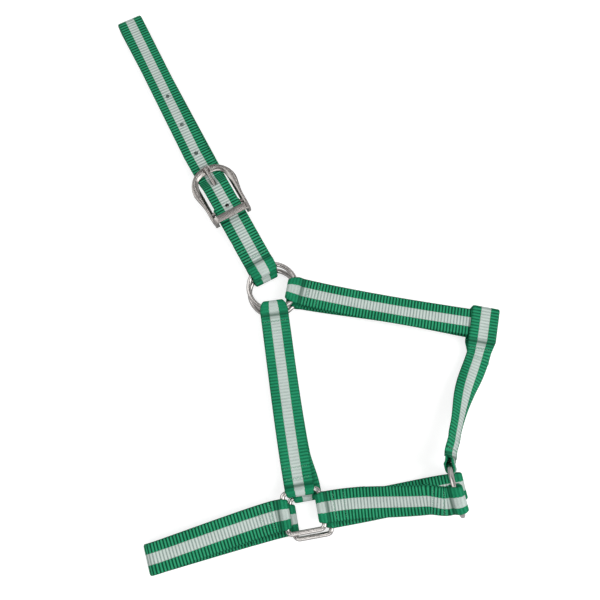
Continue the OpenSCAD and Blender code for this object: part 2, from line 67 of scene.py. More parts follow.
def leftOf(degrees):
    a = math.radians(degrees)
    return Vector((-math.sin(a), math.cos(a), 0))


def angleOf(v):
    return math.degrees(math.atan2(v.y, v.x))


def mix(a, b, f):
    return a * (1 - f) + b * f


def ease(f):
    f = min(1, max(0, f))
    return f * f * (3 - 2 * f)


def smoothShade(mesh):
    for face in mesh.polygons:
        face.use_smooth = True


def newPiece(name, bm, material, body, nodes):
    mesh = bpy.data.meshes.new(name)
    bm.to_mesh(mesh)
    bm.free()
    smoothShade(mesh)
    piece = bpy.data.objects.new(name, mesh)
    bpy.context.collection.objects.link(piece)
    mesh.materials.append(material)
    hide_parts(*nodes)
    if body:
        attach(piece, body)
    return piece


# A flat grid, to be rolled up round its short way and its ends filled by its callers. Every vertex knows
# its row and column.
def rolledGrid(rows, around):
    bm = bmesh.new()
    bmesh.ops.create_grid(bm, x_segments=around, y_segments=rows, size=0.5)
    rowOf = bm.verts.layers.int.new("row")
    columnOf = bm.verts.layers.int.new("column")
    for v in bm.verts:
        v[rowOf] = round((v.co.y + 0.5) * rows)
        v[columnOf] = round((v.co.x + 0.5) * around)
    return bm, rowOf, columnOf


def closeUp(bm, nearest=1e-7):
    bmesh.ops.remove_doubles(bm, verts=bm.verts, dist=nearest)
    rim = [e for e in bm.edges if e.is_boundary]
    if rim:
        bmesh.ops.holes_fill(bm, edges=rim, sides=0)
    bmesh.ops.recalc_face_normals(bm, faces=bm.faces)


# A solid swept along frames of (middle, side, rise) with a section of (side, rise) points.
def sweptSolid(frames, sectionAt):
    around = len(sectionAt(0))
    bm, rowOf, columnOf = rolledGrid(len(frames) - 1, around)
    for v in bm.verts:
        middle, side, rise = frames[v[rowOf]]
        a, b = sectionAt(v[rowOf])[v[columnOf] % around]
        v.co = middle + side * a + rise * b
    closeUp(bm)
    return bm


# Shader maths.
class Wire:
    def __init__(self, tree, socket):
        self.tree = tree
        self.socket = socket

    def maths(self, operation, *others, flipped=False):
        node = self.tree.nodes.new("ShaderNodeMath")
        node.operation = operation
        given = [self, *others]
        if flipped:
            given.reverse()
        for slotIn, value in zip(node.inputs, given):
            if isinstance(value, Wire):
                self.tree.links.new(value.socket, slotIn)
            else:
                slotIn.default_value = value
        return Wire(self.tree, node.outputs[0])

    def __add__(self, other):
        return self.maths("ADD", other)

    def __radd__(self, other):
        return self.maths("ADD", other)

    def __sub__(self, other):
        return self.maths("SUBTRACT", other)

    def __rsub__(self, other):
        return self.maths("SUBTRACT", other, flipped=True)

    def __mul__(self, other):
        return self.maths("MULTIPLY", other)

    def __rmul__(self, other):
        return self.maths("MULTIPLY", other)

    def __truediv__(self, other):
        return self.maths("DIVIDE", other)

    def __rtruediv__(self, other):
        return self.maths("DIVIDE", other, flipped=True)

    def __abs__(self):
        return self.maths("ABSOLUTE")

    def sine(self):
        return self.maths("SINE")

    def step(self, low, high):
        node = self.tree.nodes.new("ShaderNodeMapRange")
        node.interpolation_type = "SMOOTHSTEP"
        self.tree.links.new(self.socket, node.inputs["Value"])
        for key, value in (("From Min", low), ("From Max", high)):
            if isinstance(value, Wire):
                self.tree.links.new(value.socket, node.inputs[key])
            else:
                node.inputs[key].default_value = value
        return Wire(self.tree, node.outputs[0])


class Finish:
    def __init__(self, name):
        self.material = bpy.data.materials.new(name)
        self.material.use_nodes = True
        self.tree = self.material.node_tree
        self.shader = self.tree.nodes["Principled BSDF"]

    def node(self, kind, settings=None, inputs=None, output=0):
        made = self.tree.nodes.new(kind)
        for key, value in (settings or {}).items():
            if key == "ramp":
                while len(made.color_ramp.elements) < len(value):
                    made.color_ramp.elements.new(0.5)
                for stop, (place, colour) in zip(made.color_ramp.elements, value):
                    stop.position = place
                    stop.color = (*colour, 1)
            else:
                setattr(made, key, value)
        for key, value in (inputs or {}).items():
            if isinstance(value, Wire):
                self.tree.links.new(value.socket, made.inputs[key])
            else:
                made.inputs[key].default_value = value
        return Wire(self.tree, made.outputs[output])

    def blendColours(self, factor, first, second):
        return self.node("ShaderNodeMix", {"data_type": "RGBA"},
                         {0: factor, 6: self.colour(first), 7: self.colour(second)}, output=2)

    def colour(self, value):
        return value if isinstance(value, Wire) else (*value, 1)

    def feed(self, **values):
        for key, value in values.items():
            spot = self.shader.inputs[key.replace("_", " ")]
            if isinstance(value, Wire):
                self.tree.links.new(value.socket, spot)
            else:
                spot.default_value = value

    def bump(self, height, distance, strength):
        return self.node("ShaderNodeBump", None,
                         {"Height": height, "Distance": distance, "Strength": strength})


# Finishes.

clothLook = {
    "deepGreen": (0.0010, 0.050, 0.023),
    "midGreen": (0.0060, 0.205, 0.092),
    "lightGreen": (0.0420, 0.370, 0.185),
    "stripeDark": (0.150, 0.200, 0.182),
    "stripePale": (0.560, 0.640, 0.600),
    "stripeHalf": 4.35,      # millimetres either side of the middle
    "stripeRagged": 0.35,
    "rib": 2.67,
    "yarn": 0.62,
    "pressed": 0.72,         # how dark the painted shade along the pinched line behind a loop is
}


def makeCloth():
    k = clothLook
    f = Finish("ribbedWebbing")
    uv = f.node("ShaderNodeUVMap", {"uv_map": "cloth"})
    split = f.tree.nodes.new("ShaderNodeSeparateXYZ")
    f.tree.links.new(uv.socket, split.inputs[0])
    u = Wire(f.tree, split.outputs[0])      # millimetres across
    v = Wire(f.tree, split.outputs[1])      # millimetres along
    # The second UV map carries the painted crease shade along the valley behind each loop, and how ribbed
    # the cloth is.
    wear = f.tree.nodes.new("ShaderNodeSeparateXYZ")
    f.tree.links.new(f.node("ShaderNodeUVMap", {"uv_map": "wear"}).socket, wear.inputs[0])
    paintedCreaseShade = Wire(f.tree, wear.outputs[0])
    ribbed = Wire(f.tree, wear.outputs[1])
    wander = f.node("ShaderNodeTexNoise", {"noise_dimensions": "2D"},
                    {"Vector": uv, "Scale": 0.35, "Detail": 2.0})
    turns = v / k["rib"]
    ridge = abs((turns * math.pi).sine())                  # 0 in the grooves, 1 on the ribs
    crest = ridge.step(0.40, 0.98) * ribbed + (1 - ribbed) * 0.55
    yarns = abs(((u / k["yarn"] + (wander - 0.5) * 0.8) * math.pi).sine())
    fine = f.node("ShaderNodeTexNoise", {"noise_dimensions": "2D"},
                  {"Vector": f.node("ShaderNodeVectorMath", {"operation": "MULTIPLY"},
                                    {0: uv, 1: (2.6, 0.9, 1)}),
                   "Scale": 1.0, "Detail": 4.0, "Roughness": 0.65})
    patch = f.node("ShaderNodeTexNoise", {"noise_dimensions": "2D"},
                   {"Vector": uv, "Scale": 0.055, "Detail": 3.0})
    # Painted highlight and shade: rib crests are lighter and grooves darker in the green, the crest light
    # broken by the yarns, with random tone from the noise.
    paintedRibLightAndTone = crest * (yarns * 0.30 + 0.46) + fine * 0.50 + patch * 0.24 - 0.34
    green = f.node("ShaderNodeValToRGB", {"ramp": [
        (0.06, k["deepGreen"]), (0.42, k["midGreen"]), (0.95, k["lightGreen"])]}, {0: paintedRibLightAndTone})
    # The stripe takes the same painted groove shade and crest highlight, mixed with random tone.
    pale = f.node("ShaderNodeValToRGB", {"ramp": [
        (0.0, k["stripeDark"]), (0.5, mixTuple(k["stripeDark"], k["stripePale"], 0.7)),
        (0.95, k["stripePale"])]}, {0: crest * 0.58 + fine * 0.80 + patch * 0.24 - 0.32})
    ragged = (ridge - 0.5) * k["stripeRagged"] + (fine - 0.5) * k["stripeRagged"] * 2.2
    stripe = 1 - (abs(u) + ragged).step(k["stripeHalf"] - 0.22, k["stripeHalf"] + 0.22)
    plain = f.blendColours(stripe, green, pale)
    # Painted shade: the pinched valley behind each loop is darkened towards deep green in the colour.
    colour = f.blendColours(paintedCreaseShade * k["pressed"], plain, k["deepGreen"])
    height = yarns * 0.30 + fine * 0.55 + ridge * 0.35
    f.feed(Base_Color=colour, Roughness=0.62 - crest * 0.14 + fine * 0.08,
           Normal=f.bump(height, 0.00016, 0.75))
    f.shader.inputs["Specular IOR Level"].default_value = 0.10
    return f.material


def mixTuple(a, b, f):
    return tuple(mix(x, y, f) for x, y in zip(a, b))


def makeThread():
    f = Finish("sewingThread")
    place = f.node("ShaderNodeTexCoord", output=3)
    twist = f.node("ShaderNodeTexNoise", None, {"Vector": place, "Scale": 2600.0, "Detail": 3.0})
    colour = f.blendColours(twist, (0.02, 0.17, 0.09), (0.12, 0.34, 0.22))
    f.feed(Base_Color=colour, Roughness=0.55, Normal=f.bump(twist, 0.00012, 0.6))
    return f.material


metalLook = {
    "polished": {"name": "polishedNickel", "base": (0.42, 0.40, 0.385), "dull": (0.27, 0.255, 0.24),
                 "rough": 0.17, "spread": 0.16},
    "satin": {"name": "satinNickel", "base": (0.31, 0.290, 0.275), "dull": (0.26, 0.242, 0.228),
              "rough": 0.25, "spread": 0.10},
}


def makeMetal(look):
    f = Finish(look["name"])
    place = f.node("ShaderNodeTexCoord", output=3)
    smear = f.node("ShaderNodeTexNoise", None,
                   {"Vector": place, "Scale": 160.0, "Detail": 5.0, "Roughness": 0.6})
    grain = f.node("ShaderNodeTexNoise", None,
                   {"Vector": f.node("ShaderNodeVectorMath", {"operation": "MULTIPLY"},
                                     {0: place, 1: (1, 1, 6)}),
                    "Scale": 1500.0, "Detail": 3.0})
    waves = f.node("ShaderNodeTexNoise", None, {"Vector": place, "Scale": 110.0, "Detail": 0.0})
    worn = smear.step(0.52, 0.74)
    colour = f.blendColours(worn * 0.55, look["base"], look["dull"])
    f.feed(Base_Color=colour, Metallic=1.0,
           Roughness=worn * look["spread"] + grain * 0.03 + look["rough"],
           Normal=f.bump(waves, 0.00001, 0.25))
    return f.material


cloth = makeCloth()
thread = makeThread()
polished = makeMetal(metalLook["polished"])
satin = makeMetal(metalLook["satin"])
print("finishes ready")

# Where things are.

joints = {j["name"]: j for j in frame["joints"]}


def jointPlace(name):
    return Vector(joints[name]["pos_m"])


def nodeMiddle(name):
    low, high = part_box(name)
    return (Vector(low) + Vector(high)) / 2


nearCheek = jointPlace("near_cheek_ring_spin")
farCheek = jointPlace("far_cheek_ring_spin")
nearNose = nodeMiddle("near_nose_ring")
farNose = nodeMiddle("far_nose_ring")
chinMiddle = jointPlace("chin_ring_spin")
chinAxis = Vector(joints["chin_ring_spin"]["axis"]).normalized()
chinSide = up.cross(chinAxis).normalized()
chinTop = chinAxis.cross(chinSide)
heelBar = jointPlace("tongue_lift")


def chinOut(degrees):
    a = math.radians(degrees)
    return chinTop * math.cos(a) + chinSide * math.sin(a)


def chinAlong(degrees):
    a = math.radians(degrees)
    return chinSide * math.cos(a) - chinTop * math.sin(a)


# Webbing.

web = {
    "width": 25 * mm,
    "thick": 1.8 * mm,
    "loopGap": 0.3 * mm,
    "seamGap": 0.1 * mm,
    "throat": 5.6 * mm,      # from the wire to where the layers meet
    "trim": 1.2 * mm,
    "crowdTrim": 3.2 * mm,
    "crowdShift": 1.5 * mm,
    "lap": 30 * mm,
    "rib": 2.67 * mm,
    "relief": 0.30 * mm,
    "rowsPerRib": 6,
    "columns": 16,
    "valley": 1.9 * mm,      # half width of the pinched line behind a loop
    "valleyBack": 1.2 * mm,
    "pinch": 0.42,
}
ring = {"wire": 2 * mm, "tunnel": 4.4 * mm, "slack": 0.5 * mm}
ring["radius"] = (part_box("near_cheek_ring")[1][0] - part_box("near_cheek_ring")[0][0]) / 2 - ring["wire"]
square = {"width": 30 * mm, "height": 32 * mm, "corner": 4 * mm, "turn": 10}
foldHeight = 14.2 * mm      # of the noseband's and the crown strap's far ends
stitch = {"zig": 2.1 * mm, "step": 1.55 * mm, "radius": 0.19 * mm, "inset": 2.2 * mm,
          "rows": ((4.7, 0.14), (13.5, 0.02))}      # distance beyond the seam, height of the thread
layer = web["thick"] + web["seamGap"]
hug = ring["wire"] + web["loopGap"] + web["thick"] / 2


# One place along a strap: its middle, the way across, the curl, the width and how ribbed it is.
class Stop:
    def __init__(self, place, across, curl=None, width=None, ribbed=1.0):
        self.place = place
        self.across = across
        self.curl = curl or Vector((0, 0, 0))
        self.width = width or web["width"]
        self.ribbed = ribbed
        self.seam = 0            # 1 or -1 where the two layers meet, by the way the lap runs

    def turned(self):
        return Stop(self.place, -self.across, self.curl, self.width, self.ribbed)


def tangentAt(path, i):
    ahead = path[min(i + 1, len(path) - 1)].place - path[min(i, len(path) - 2)].place
    behind = path[max(i, 1)].place - path[max(i - 1, 0)].place
    return (ahead.normalized() + behind.normalized()).normalized()


def outwardAt(path, i):
    t = tangentAt(path, i)
    across = path[i].across
    return t.cross((across - t * across.dot(t)).normalized())


# Round a wire, from the lap side to the side n; u points along the strap, away from the wire.
def wireLoop(wire, u, v, n, radius=hug, tunnel=0.0, curl=0.0, trim=web["trim"], slack=0.0):
    out = web["throat"] + slack
    near = 0.5 * mm + slack

    def stop(s, h, width, ribbed):
        bend = -n / (curl + h) if curl else None
        return Stop(wire + u * s + n * h, v, bend, width, ribbed)

    def ramp(side, fractions):
        return [stop(mix(out, near, f), side * mix(layer / 2, radius, f * 0.6 + ease(f) * 0.4),
                     web["width"], mix(0.7, 0.3, f)) for f in fractions]

    down = [k / 6 for k in range(7)]
    stops = ramp(-1, down)
    for k in range(25):
        a = math.pi * k / 24
        width = web["width"] - 2 * trim * (0.4 + 0.6 * math.sin(a))
        stops.append(stop(-tunnel - slack - radius * math.sin(a), -radius * math.cos(a), width, 0.25))
    stops += ramp(1, down[::-1])
    stops[-1].seam = 1
    return stops


def curved(a, wayA, b, wayB, pull=1 / 3, twist=1.0, count=50):
    reach = (b.place - a.place).length * pull
    stops = []
    for k in range(1, count):
        f = k / count
        place = (a.place * (1 - f) ** 3 + (a.place + wayA * reach) * 3 * f * (1 - f) ** 2
                 + (b.place - wayB * reach) * 3 * f * f * (1 - f) + b.place * f ** 3)
        stops.append(Stop(place, mix(a.across, b.across, ease(f / twist)).normalized(),
                          mix(a.curl, b.curl, f ** 5)))
    return stops


def lapOver(path, first, length):
    stops = []
    run = 0
    i = first
    while run < length:
        stops.append(Stop(path[i].place - outwardAt(path, i) * layer, path[i].across, path[i].curl))
        run += (path[i + 1].place - path[i].place).length
        i += 1
    return stops[::-1]


loopCount = len(wireLoop(up, Vector((1, 0, 0)), Vector((0, 1, 0)), up))


def sewn(path, startLap, endLap):
    start = lapOver(path, loopCount, startLap) if startLap else []
    back = [s.turned() for s in path[::-1]]
    end = [s.turned() for s in lapOver(back, loopCount, endLap)[::-1]] if endLap else []
    return start + path + end


# The far loop runs back along the strap, so its seam faces the other way.
def backwards(loopStops):
    loopStops[-1].seam = -1
    return loopStops[::-1]


# A strap from wire to wire, bowed sideways in its middle.
def betweenWires(a, wayA, b, wayB, bow=Vector((0, 0, 0))):
    middle = curved(a[-1], wayA, b[-1], wayB)
    for k, stop in enumerate(middle, 1):
        f = k / (len(middle) + 1)
        stop.place += bow * ease(f / 0.8) * ease((1 - f) / 0.2)
    return a + middle + backwards(b)


# The webbing of a strap that lies slightly on its edge shows narrower.
def slimmed(path, share, ribbed=1.0):
    for stop in path:
        stop.width *= share
        stop.ribbed *= ribbed
    return path


def folded(near, nearWay, far, farWay, end, nearTurn, farTurn, topZ, height, pull=1 / 3, farBow=0.0):
    turn = []
    for k in range(33):
        f = k / 32
        degrees = mix(nearTurn, farTurn, f)
        r = height / 2
        rise = up * (topZ - r + r * math.cos(math.pi * f))
        turn.append(Stop(end + heading(degrees) * r * math.sin(math.pi * f) + rise, leftOf(degrees)))
    legNear = curved(near[-1], nearWay, turn[0], heading(nearTurn), pull) if nearWay else []
    legFar = curved(turn[-1], -heading(farTurn), far[-1], -farWay, pull)
    for k, stop in enumerate(legFar, 1):
        stop.place += leftOf(farTurn) * farBow * math.sin(math.pi * k / (len(legFar) + 1)) ** 2
    return near + legNear + turn + legFar + backwards(far)


# The cloth along a path, asked by distance along, fraction across and side.
class Surface:
    def __init__(self, path):
        run = [0.0]
        for a, b in zip(path, path[1:]):
            run.append(run[-1] + (b.place - a.place).length)
        self.length = run[-1]
        self.seams = [(run[i], s.seam) for i, s in enumerate(path) if s.seam]
        self.count = round(self.length / web["rib"] * web["rowsPerRib"])
        stops = []
        i = 0
        for k in range(self.count + 1):
            s = self.length * k / self.count
            while i < len(path) - 2 and run[i + 1] < s:
                i += 1
            f = (s - run[i]) / max(run[i + 1] - run[i], 1e-9)
            a, b = path[i], path[i + 1]
            stops.append(Stop(mix(a.place, b.place, f), mix(a.across, b.across, f),
                              mix(a.curl, b.curl, f), mix(a.width, b.width, f),
                              mix(a.ribbed, b.ribbed, f)))
        self.rows = []
        for i, stop in enumerate(stops):
            t = tangentAt(stops, i)
            across = (stop.across - t * stop.across.dot(t)).normalized()
            self.rows.append((stop, across, t.cross(across)))

    def valley(self, s):
        return min(1, sum(math.exp(-((s - at + turn * web["valleyBack"]) / web["valley"]) ** 2)
                          for at, turn in self.seams))

    def nearest(self, place):
        k = min(range(self.count + 1), key=lambda k: (self.rows[k][0].place - place).length)
        return self.length * k / self.count

    def ribbedAt(self, s):
        return self.rows[min(self.count, max(0, round(s / self.length * self.count)))][0].ribbed

    def at(self, s, x, side, lift=0.0):
        k = min(self.count, max(0, s / self.length * self.count))
        i = min(int(k), self.count - 1)
        f = k - i
        if f > 0.999:
            i, f = i + 1, 0
        if f < 0.001:
            return self.onRow(i, s, x, side, lift)
        return mix(self.onRow(i, s, x, side, lift), self.onRow(i + 1, s, x, side, lift), f)

    def onRow(self, i, s, x, side, lift):
        stop, across, outward = self.rows[i]
        edge = (1 - abs(x) ** 18) ** 0.5
        ridge = abs(math.sin(math.pi * s / web["rib"]))
        pressed = self.valley(s) if side > 0 else 0
        relief = web["relief"] * stop.ribbed * (1 - pressed) * (ridge - 0.75)
        half = (web["thick"] / 2 * (1 - web["pinch"] * pressed) + relief) * edge
        y = x * stop.width / 2 + x * 0.14 * mm * stop.ribbed * (ridge - 0.5)
        bend = max(stop.curl.length, 1e-4)
        c = stop.curl / bend
        turn = bend * y
        way = across * math.cos(turn) + c * math.sin(turn)
        face = (outward - way * outward.dot(way)).normalized()
        middle = stop.place + across * (math.sin(turn) / bend) + c * ((1 - math.cos(turn)) / bend)
        return middle + face * (half * side + lift)


# Holes are (distance along, half length, half width, squareness).
def strapMesh(surface, holes=(), columns=web["columns"]):
    n = columns
    even = [2 * j / n - 1 for j in range(n + 1)]
    across = [math.sin(math.pi / 2 * x) * 0.25 + x * 0.75 for x in even]
    bm, rowOf, columnOf = rolledGrid(surface.count, 2 * n)
    along = bm.verts.layers.float.new("along")
    sideways = bm.verts.layers.float.new("across")
    rimOf = bm.verts.layers.int.new("rim")

    def spot(v):
        j = v[columnOf]
        front = j <= n
        return surface.length * v[rowOf] / surface.count, j if front else 2 * n - j, 1 if front else -1

    sides = {}
    for v in bm.verts:
        s, j, side = spot(v)
        v[along] = s
        v[sideways] = across[j]
        sides[v] = side
    half = web["width"] / 2
    for number, (at, halfLength, halfWidth, squareness) in enumerate(holes, 1):
        def reachOf(s, x):
            return (abs((s - at) / halfLength) ** squareness
                    + abs(x * half / halfWidth) ** squareness) ** (1 / squareness)

        near = [f for f in bm.faces if abs(sum(v[along] for v in f.verts) / 4 - at) < halfLength]
        gone = [f for f in near if reachOf(sum(v[along] for v in f.verts) / 4,
                                           sum(v[sideways] for v in f.verts) / 4) < 1]
        touched = {v for f in gone for v in f.verts}
        bmesh.ops.delete(bm, geom=gone, context="FACES_KEEP_BOUNDARY")
        for v in touched:
            if v.is_valid and v.link_faces:
                reach = reachOf(v[along], v[sideways])
                v[along] = at + (v[along] - at) / reach
                v[sideways] /= reach
                v[rimOf] = number
    loose = [v for v in bm.verts if not v.link_faces]
    bmesh.ops.delete(bm, geom=loose, context="VERTS")
    for v in bm.verts:
        if v[rimOf]:
            v.co = surface.at(v[along], v[sideways], sides[v])
        else:
            v.co = surface.onRow(v[rowOf], v[along], v[sideways], sides[v], 0)
    bmesh.ops.remove_doubles(bm, verts=bm.verts, dist=1e-6)
    for number in range(1, len(holes) + 1):
        rim = [e for e in bm.edges if e.is_boundary and all(v[rimOf] == number for v in e.verts)]
        bmesh.ops.bridge_loops(bm, edges=rim)
    closeUp(bm, 1e-9)
    clothUv = bm.loops.layers.uv.new("cloth")
    # The second UV map holds the painted crease shade of the pinched valley behind each loop, and how
    # ribbed the cloth is.
    creaseShadeAndRibsUv = bm.loops.layers.uv.new("wear")
    for face in bm.faces:
        for corner in face.loops:
            v = corner.vert
            s = v[along]
            corner[clothUv].uv = (v[sideways] * web["width"] / 2 / mm, s / mm)
            corner[creaseShadeAndRibsUv].uv = (surface.valley(s), surface.ribbedAt(s))
    return bm


# Zigzag rows of separate stitches, each dipping into the cloth at its ends.
def stitching(name, surface, body, node):
    bm = bmesh.new()
    for at, turn in surface.seams:
        for row, height in stitch["rows"]:
            mid = at + turn * row * mm
            if not 2 * mm < mid < surface.length - 2 * mm:
                continue
            reach = web["width"] / 2 - stitch["inset"]
            count = int(2 * reach / stitch["step"])
            for k in range(count):
                y0 = -reach + k * stitch["step"]
                y1 = y0 + stitch["step"] * random.uniform(0.82, 0.95)
                flip = stitch["zig"] / 2 * (1 if k % 2 else -1) * random.uniform(0.85, 1.1)
                addStitch(bm, surface, (mid - flip, y0), (mid + flip, y1), height * mm)
    bmesh.ops.recalc_face_normals(bm, faces=bm.faces)
    return newPiece(name, bm, thread, body, [node])


def addStitch(bm, surface, start, end, height):
    points = []
    for k in range(7):
        f = k / 6
        s = mix(start[0], end[0], f)
        y = mix(start[1], end[1], f)
        lift = (math.sin(math.pi * f) ** 0.6) * (height + 0.06 * mm) - 0.18 * mm
        points.append(surface.at(s, 2 * y / web["width"], 1, lift))
    frames = []
    for i, p in enumerate(points):
        t = (points[min(i + 1, 6)] - points[max(i - 1, 0)]).normalized()
        side = surface.rows[round(start[0] / surface.length * surface.count)][2].cross(t).normalized()
        frames.append((p, side, t.cross(side)))
    ring6 = [(math.cos(math.pi * k / 3) * stitch["radius"], math.sin(math.pi * k / 3) * stitch["radius"])
             for k in range(6)]
    taper = [0.5, 0.85, 1, 1, 1, 0.85, 0.5]
    grid, rowOf, columnOf = rolledGrid(6, 6)
    for v in grid.verts:
        middle, side, rise = frames[v[rowOf]]
        a, b = ring6[v[columnOf] % 6]
        v.co = middle + (side * a + rise * b) * taper[v[rowOf]]
    closeUp(grid)
    scrap = bpy.data.meshes.new("scrap")
    grid.to_mesh(scrap)
    grid.free()
    bm.from_mesh(scrap)
    bpy.data.meshes.remove(scrap)


def webbing(name, path, body, node, threadNode, holes=(), columns=web["columns"]):
    surface = Surface(path)
    made = [(at if isinstance(at, float) else surface.nearest(at), a, b, p) for at, a, b, p in holes]
    piece = newPiece(name, strapMesh(surface, made, columns), cloth, body, [node])
    print("  ", name, len(piece.data.polygons), "faces")
    return piece, stitching(name.replace("Strap", "") + "Stitching", surface, body, threadNode)


# Cheek straps.

cheekStrap = {"way": -82, "nearBow": Vector((0, 0, 0)), "farBow": Vector((-3.2 * mm, 0, 0)),
              "slim": 0.96, "ribbed": 0.45}


def cheekPath(topRing, bottomRing, side):
    u = heading(cheekStrap["way"])
    v = leftOf(cheekStrap["way"])
    w = heading(square["turn"] + 90)
    top = wireLoop(topRing + u * ring["radius"] - v * web["crowdShift"], u, v * side, up * side,
                   tunnel=ring["tunnel"], trim=web["crowdTrim"])
    bottom = wireLoop(bottomRing + w * square["height"] / 2, w,
                      -leftOf(square["turn"] + 90) * side, up * side)
    bow = cheekStrap["nearBow" if side > 0 else "farBow"]
    return slimmed(sewn(betweenWires(top, u, bottom, -w, bow), web["lap"], web["lap"]),
                   cheekStrap["slim"], cheekStrap["ribbed"])


print("webbing")
webbing("nearCheekStrap", cheekPath(nearCheek, nearNose, 1), "headcollar",
        "near_cheek_strap", "near_cheek_stitching")
webbing("farCheekStrap", cheekPath(farCheek, farNose, -1), "headcollar",
        "far_cheek_strap", "far_cheek_stitching")

# Throat strap.

throatStrap = {"way": -10.7, "bow": 3, "length": 195 * mm, "farBow": 1.8 * mm, "slim": 0.93}
throatFoldHeight = nearCheek.z - farCheek.z + layer
throatReach = throatStrap["length"] - throatFoldHeight / 2 - web["thick"] / 2
throatEnd = Vector((nearCheek.x, nearCheek.y, 0)) + heading(throatStrap["way"]) * throatReach
throatFarWay = (throatEnd - Vector((farCheek.x, farCheek.y, 0))
                - leftOf(throatStrap["way"]) * web["crowdShift"]).normalized()


def throatLoop(place, u, side):
    return wireLoop(place + u * ring["radius"] + leftOf(throatStrap["way"]) * web["crowdShift"], u,
                    leftOf(throatStrap["way"]), up * side, tunnel=ring["tunnel"], trim=web["crowdTrim"])


throatNearWay = heading(throatStrap["way"] - throatStrap["bow"])
throatPath = folded(throatLoop(nearCheek, throatNearWay, 1), throatNearWay,
                    throatLoop(farCheek, throatFarWay, -1), throatFarWay,
                    throatEnd + leftOf(throatStrap["way"]) * web["crowdShift"] / 2,
                    throatStrap["way"] + throatStrap["bow"] / 2, angleOf(throatFarWay),
                    nearCheek.z + layer / 2, throatFoldHeight, farBow=throatStrap["farBow"])
webbing("throatStrap", slimmed(sewn(throatPath, web["lap"], web["lap"]), throatStrap["slim"]),
        "throat", "throat_strap", "throat_stitching")

# Noseband.

noseband = {"way": 197, "length": 130 * mm, "pull": 0.12}
noseOut = square["turn"] + 180
noseEnd = (Vector((nearNose.x, nearNose.y, 0))
           + heading(noseband["way"]) * (noseband["length"] - foldHeight / 2 - web["thick"] / 2))


def noseLoop(place, side):
    return wireLoop(place + heading(noseOut) * square["width"] / 2, heading(noseOut),
                    leftOf(noseOut), up * side)


noseFarTurn = angleOf(noseEnd - Vector((farNose.x, farNose.y, 0))) + 360
nosePath = folded(noseLoop(nearNose, 1), heading(noseOut), noseLoop(farNose, -1), heading(noseOut),
                  noseEnd, noseband["way"], noseFarTurn,
                  foldHeight + web["thick"] / 2, foldHeight, noseband["pull"])
webbing("noseband", sewn(nosePath, web["lap"], web["lap"]), "headcollar",
        "noseband", "noseband_stitching")

# Chin straps.

chinStrap = {"near": -24, "far": 175, "tunnel": 2.5 * mm, "lap": 21 * mm, "farLean": 0.6,
             "bow": Vector((0, 4.0 * mm, 0))}


def chinPath(place, degrees, side):
    u = heading(square["turn"])
    flat = Vector((chinAxis.x, chinAxis.y, 0))
    t = (flat + up * chinAxis.z * (1 if side > 0 else chinStrap["farLean"])).normalized()
    out = chinOut(degrees)
    out = (out - t * out.dot(t)).normalized()
    start = wireLoop(place + u * square["width"] / 2, u, leftOf(square["turn"]) * side, up * side)
    end = wireLoop(chinMiddle + chinOut(degrees) * ring["radius"], -t, out.cross(t), out,
                   tunnel=chinStrap["tunnel"], curl=ring["radius"])
    bow = chinStrap["bow"] if side > 0 else Vector((0, 0, 0))
    return sewn(betweenWires(start, u, end, t, bow), web["lap"], chinStrap["lap"])


webbing("nearChinStrap", chinPath(nearNose, chinStrap["near"], 1), "headcollar",
        "near_chin_strap", "near_chin_stitching")
webbing("farChinStrap", chinPath(farNose, chinStrap["far"], -1), "headcollar",
        "far_chin_strap", "far_chin_stitching")

# Crown strap and chape.

buckle = {
    "way": 119.3, "heelAt": 82 * mm, "heelRadius": 1.75 * mm,
    "frameLength": 56 * mm, "heelBack": 12 * mm, "frameThick": 3 * mm,
    "archRadius": 21 * mm, "footHalf": 17.5 * mm, "frameGap": 1.2 * mm, "keeperWidth": 6.5 * mm,
    "keeperThick": 2.4 * mm, "tongueWidth": 4.2 * mm, "tongueThick": 2.5 * mm, "notch": 1 * mm,
}
crown = {
    "kink": 143 * mm, "topWay": 116.3, "topLength": 155.3 * mm, "turnOver": 12 * mm,
    "holePitch": 31.2 * mm, "holeBack": 1 * mm, "holeSize": 4 * mm,
    "rampLength": 13.8 * mm, "rampBack": 3 * mm, "pastFrame": 6 * mm, "slim": 0.93, "columns": 24,
    "slotAt": 6.3 * mm,      # beyond the foot of the ramp
    "slotHalf": 5.2 * mm, "slotRoom": 0.5 * mm,
}
chape = {"lapRoom": 8 * mm, "slotHalf": 13 * mm, "slotRoom": 0.8 * mm}
frameZ = heelBar.z
frameLow = buckle["heelAt"] - buckle["heelBack"]
frameHigh = frameLow + buckle["frameLength"]
archMiddle = frameHigh - buckle["archRadius"]
innerHalf = web["width"] / 2 + buckle["frameGap"]
heelHug = buckle["heelRadius"] + web["loopGap"] + web["thick"] / 2
overZ = frameZ + heelHug + web["thick"] + web["loopGap"]
underZ = frameZ - buckle["frameThick"] / 2 - web["loopGap"] - web["thick"] / 2
rampEnd = archMiddle + innerHalf - crown["rampBack"]
rampStart = rampEnd - crown["rampLength"]
crownRoot = Vector((nearCheek.x, nearCheek.y, 0))
crownKnee = crownRoot + heading(buckle["way"]) * crown["kink"]
crownTop = foldHeight + web["thick"] / 2
crownEnd = crownKnee + heading(crown["topWay"]) * (crown["topLength"] - crownTop / 2)


def crownPoint(d):
    if d < crown["kink"]:
        return crownRoot + heading(buckle["way"]) * d
    return crownKnee + heading(crown["topWay"]) * (d - crown["kink"])


def crownLevel(d):
    if d < rampEnd:
        return mix(overZ, underZ, ease((d - rampStart) / (rampEnd - rampStart)))
    start = frameHigh + crown["pastFrame"]
    return mix(underZ, crownTop, max(0, d - start) / (crown["kink"] + crown["topLength"] - start))


def crownTurn(d):
    return mix(buckle["way"], crown["topWay"], ease((d - crown["kink"]) / crown["turnOver"] + 0.5))


